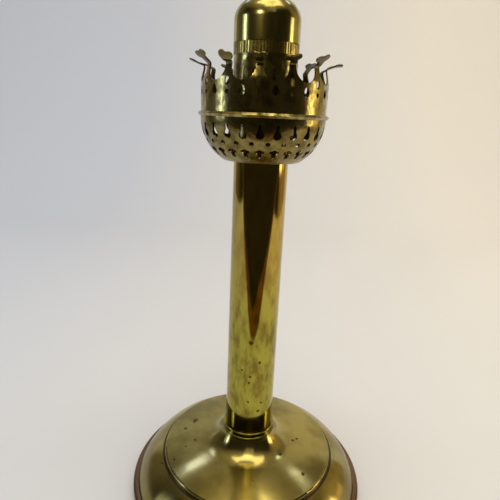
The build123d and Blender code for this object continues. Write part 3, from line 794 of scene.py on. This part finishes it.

# %% [markdown]
# Without something dark around it, polished brass looks like pale plastic. A studio hangs dark cloth for
# that. Here a canopy of dark cloth stands round the set at the front and the sides and closes over it, open
# at the back where the sheet stands, and two more sheets lie on the floor in front. The canopy is a part of
# a sphere whose lower edge rises at the back. On the floor a brown sheet of painted shadow comes nearer to
# the lamp than the dark cloth on it, and the tube mirrors them as a dark wedge with a brown fringe of painted
# shadow.

# %% Dark cloths
canopy_radius = 1.7
front_edge, rear_rise, rise_start, rise_end = np.radians([-14, 52, 122, 138])
bearing = np.radians(np.linspace(-180, 180, 73))
lower_edge = front_edge + rear_rise * ease(np.abs(bearing), rise_start, rise_end)
share = np.linspace(0, 1, 25)[:, None]
elevation = lower_edge[None, :] * (1 - share) + np.pi / 2 * share
canopy = grid_mesh("dark_canopy", canopy_radius * np.stack([
    np.cos(elevation) * np.sin(bearing),
    -np.cos(elevation) * np.cos(bearing),
    np.sin(elevation)], -1))

cloth_reach = 1.8


def floor_cloth(name, lift, edge, bulge, middle, width):
    """Cloth on the floor in front. Its near edge is the line
    y = edge + bulge * exp(-((x - middle) / width)^2)."""
    along_edge = np.linspace(-cloth_reach, cloth_reach, 181)
    near_edge = edge + bulge * np.exp(-((along_edge - middle) / width) ** 2)
    return grid_mesh(name, np.stack([
        np.broadcast_to(along_edge, (2, along_edge.size)),
        np.stack([near_edge, np.full_like(near_edge, -cloth_reach)]),
        np.full((2, along_edge.size), lift)], -1))


# painted shadow: this brown sheet stands in for a shadow on the floor in front, and only reflections see it
floor_shadow_card = floor_cloth("painted_floor_shadow", 0.001, -0.275, 0.090, 0.020, 0.165)
dark_floor = floor_cloth("dark_floor_cloth", 0.002, -0.325, 0.075, -0.035, 0.100)

# %% [markdown]
# The cloths are matt, and only reflections see them: they hide nothing from the camera and take no light
# away. So they need no light on them either, and simply glow in the tone of cloth that is evenly lit, the
# brown one in the tone of painted shadow. The dark cloth's glow holds painted light: paler towards the top
# and the back, where the room is lit, and warm at the back on the right, where the glow of the right lamp
# spreads.

# %% Tones of the cloths
def evenly_lit_cloth(name):
    """Cloth that glows alike in all directions, and the socket for the colour of its glow."""
    cloth = bpy.data.materials.new(name)
    cloth.use_nodes = True
    tree = cloth.node_tree
    tree.nodes.remove(tree.nodes["Principled BSDF"])
    glow = add(tree, "ShaderNodeEmission", {"Strength": 1.0})
    tree.links.new(glow.outputs["Emission"], tree.nodes["Material Output"].inputs["Surface"])
    return cloth, glow.inputs["Color"]


# the brown glow is a painted shadow
shadow_cloth, shadow_glow = evenly_lit_cloth("painted floor shadow in reflections")
shadow_glow.default_value = colour("#7a5428")
dark_cloth, dark_glow = evenly_lit_cloth("dark cloth in reflections")
tree = dark_cloth.node_tree
place = add(tree, "ShaderNodeTexCoord", {}).outputs["Object"]
where = add(tree, "ShaderNodeSeparateXYZ", {"Vector": place})
# painted light: the glow grows paler towards the top and the back and warmer at the back on the right, where
# the room and the right lamp would light the cloth
upper = add(tree, "ShaderNodeMapRange", {
    "Value": where.outputs["Z"], "From Min": 0.72 * canopy_radius, "From Max": 0.95 * canopy_radius})
rear = add(tree, "ShaderNodeMapRange", {
    "Value": where.outputs["Y"], "From Min": 0.0, "From Max": 0.6 * canopy_radius})
right_side = add(tree, "ShaderNodeMapRange", {
    "Value": where.outputs["X"], "From Min": 0.45 * canopy_radius, "From Max": 0.80 * canopy_radius})
rear_half = add(tree, "ShaderNodeMapRange", {
    "Value": where.outputs["Y"], "From Min": -0.10 * canopy_radius, "From Max": 0.25 * canopy_radius})
warm_side = add(tree, "ShaderNodeMath", {
    0: right_side.outputs["Result"], 1: rear_half.outputs["Result"]}, operation="MULTIPLY")
backed = add(tree, "ShaderNodeMix", {
    0: rear.outputs["Result"], 6: colour("#322e24"), 7: colour("#8a8272")}, data_type="RGBA")
warmed = add(tree, "ShaderNodeMix", {
    0: warm_side.outputs["Value"], 6: backed.outputs[2], 7: colour("#bca474")}, data_type="RGBA")
tone = add(tree, "ShaderNodeMix", {
    0: upper.outputs["Result"], 6: warmed.outputs[2], 7: colour("#c0b498")}, data_type="RGBA")
tree.links.new(tone.outputs[2], dark_glow)
for card, cloth in ((canopy, dark_cloth), (dark_floor, dark_cloth), (floor_shadow_card, shadow_cloth)):
    card.data.materials.append(cloth)
    card.visible_camera = False
    card.visible_diffuse = False
    card.visible_shadow = False
    card.visible_transmission = False
    print(card.name, "takes", cloth.name)

# %% [markdown]
# The light is that of a plain studio. A narrow cool window stands on the left inside the paler patch of its
# curtain, and a warm lamp on the right inside its own glow. A wide soft light hangs overhead, and in front
# of it the ceiling and the front wall catch some of it. Two long cool lights high up behind the lamp draw the
# streaks on the foot, and one small lamp with a deep shade shines on the cap alone. Each is an area light,
# given by its bearing from the front, elevation, distance from what it is turned to, size and brightness as
# seen, so that what the brass will mirror is known beforehand.

# %% Lights
lamp_middle, cap_middle = Vector((0, 0, 0.15)), Vector((0, 0, 0.245))


def soft_light(name, bearing, elevation, distance, size, radiance, tint, aim=lamp_middle):
    """Area light turned to the point aim. Its power is radiance times pi times its area."""
    light = bpy.data.lights.new(name, "AREA")
    light.shape = "RECTANGLE"
    light.size, light.size_y = size
    light.energy = radiance * np.pi * size[0] * size[1]
    light.color = colour(tint)[:3]
    made = bpy.data.objects.new(name, light)
    turn, lift = np.radians([bearing, elevation])
    towards = Vector((np.cos(lift) * np.sin(turn), -np.cos(lift) * np.cos(turn), np.sin(lift)))
    made.location = aim + distance * towards
    made.rotation_euler = (-towards).to_track_quat("-Z", "Y").to_euler()
    made.visible_camera = False
    bpy.context.scene.collection.objects.link(made)
    print(name, "at", [round(value, 3) for value in made.location])
    return made


soft_light("left_window", -80, 9, 1.20, (0.13, 0.44), 7.0, "#bcd0ff")
soft_light("left_curtain", -82, 8, 1.25, (0.42, 0.50), 1.5, "#d4e0ff")
soft_light("right_lamp", 92, 5, 1.15, (0.26, 0.42), 4.0, "#fff0d0")
soft_light("right_glow", 98, 1, 1.20, (0.60, 0.26), 0.9, "#ffdca4")
soft_light("overhead_light", 40, 84, 1.05, (0.80, 0.76), 2.5, "#fff6e0")
soft_light("ceiling_glow", 8, 64, 1.10, (0.44, 0.26), 1.3, "#fff6e0")
soft_light("front_glow", 11, 43, 1.15, (0.50, 0.40), 0.4, "#fff6e0")
soft_light("rear_left_light", -148, 47, 1.25, (0.30, 0.10), 5.0, "#aebeff")
soft_light("rear_right_light", 143, 50, 1.25, (0.20, 0.11), 4.0, "#ccd8ff")
cap_lamp = soft_light("cap_lamp", -28, 24, 0.30, (0.02, 0.015), 9.0, "#fff0d0", cap_middle)
shade_opening = 24
cap_lamp.data.spread = np.radians(shade_opening)

# %% [markdown]
# The world fills the shadows evenly. The camera and reflections see it as a pale backdrop, where the
# sheet ends in views from the other sides, and surfaces get a little less light from it.

# %% World
fill_strength = 0.71
world = bpy.data.worlds.new("pale room")
bpy.context.scene.world = world
world.use_nodes = True
tree = world.node_tree
path = add(tree, "ShaderNodeLightPath", {})
seen = add(tree, "ShaderNodeMath", {
    0: path.outputs["Is Camera Ray"], 1: path.outputs["Is Glossy Ray"]}, operation="MAXIMUM")
seen_through = add(tree, "ShaderNodeMath", {
    0: seen.outputs["Value"], 1: path.outputs["Is Transmission Ray"]}, operation="MAXIMUM")
strength = add(tree, "ShaderNodeMapRange", {
    "Value": seen_through.outputs["Value"], "To Min": fill_strength, "To Max": 1.0})
backdrop = tree.nodes["Background"]
backdrop.inputs["Color"].default_value = colour("#dedede")
tree.links.new(strength.outputs["Result"], backdrop.inputs["Strength"])
print("world:", world.name, "with a fill of", fill_strength)

# %% [markdown]
# The camera stands at the place that the photo was taken from: close in front of the lamp, a little below
# its top, and looking down, which is why the foot looks so wide. Its turns are in radians.

# %% Camera
picture_size = 500
focal_pixels = 440.0
stand_off, eye_height = 0.20846, 0.20234
yaw, pitch, roll = -0.0159, 0.2973, 0.0440
forward = Vector((np.sin(yaw) * np.cos(pitch), np.cos(yaw) * np.cos(pitch), -np.sin(pitch)))
level = Vector((np.cos(yaw), -np.sin(yaw), 0))
above = level.cross(forward)
right = np.cos(roll) * level + np.sin(roll) * above
up = np.cos(roll) * above - np.sin(roll) * level
view = bpy.data.cameras.new("photo_view")
view.sensor_fit = "HORIZONTAL"
view.sensor_width = 36
view.lens = focal_pixels / picture_size * view.sensor_width
view.clip_start = 0.01
camera = bpy.data.objects.new("photo_view", view)
turned = Matrix((right, up, -forward)).transposed().to_4x4()
camera.matrix_world = Matrix.Translation((0, -stand_off, eye_height)) @ turned
bpy.context.scene.collection.objects.link(camera)
bpy.context.scene.camera = camera
bpy.context.scene.view_settings.view_transform = "Standard"
print("camera", stand_off, "m in front of the axis, lens", round(view.lens, 2), "mm")
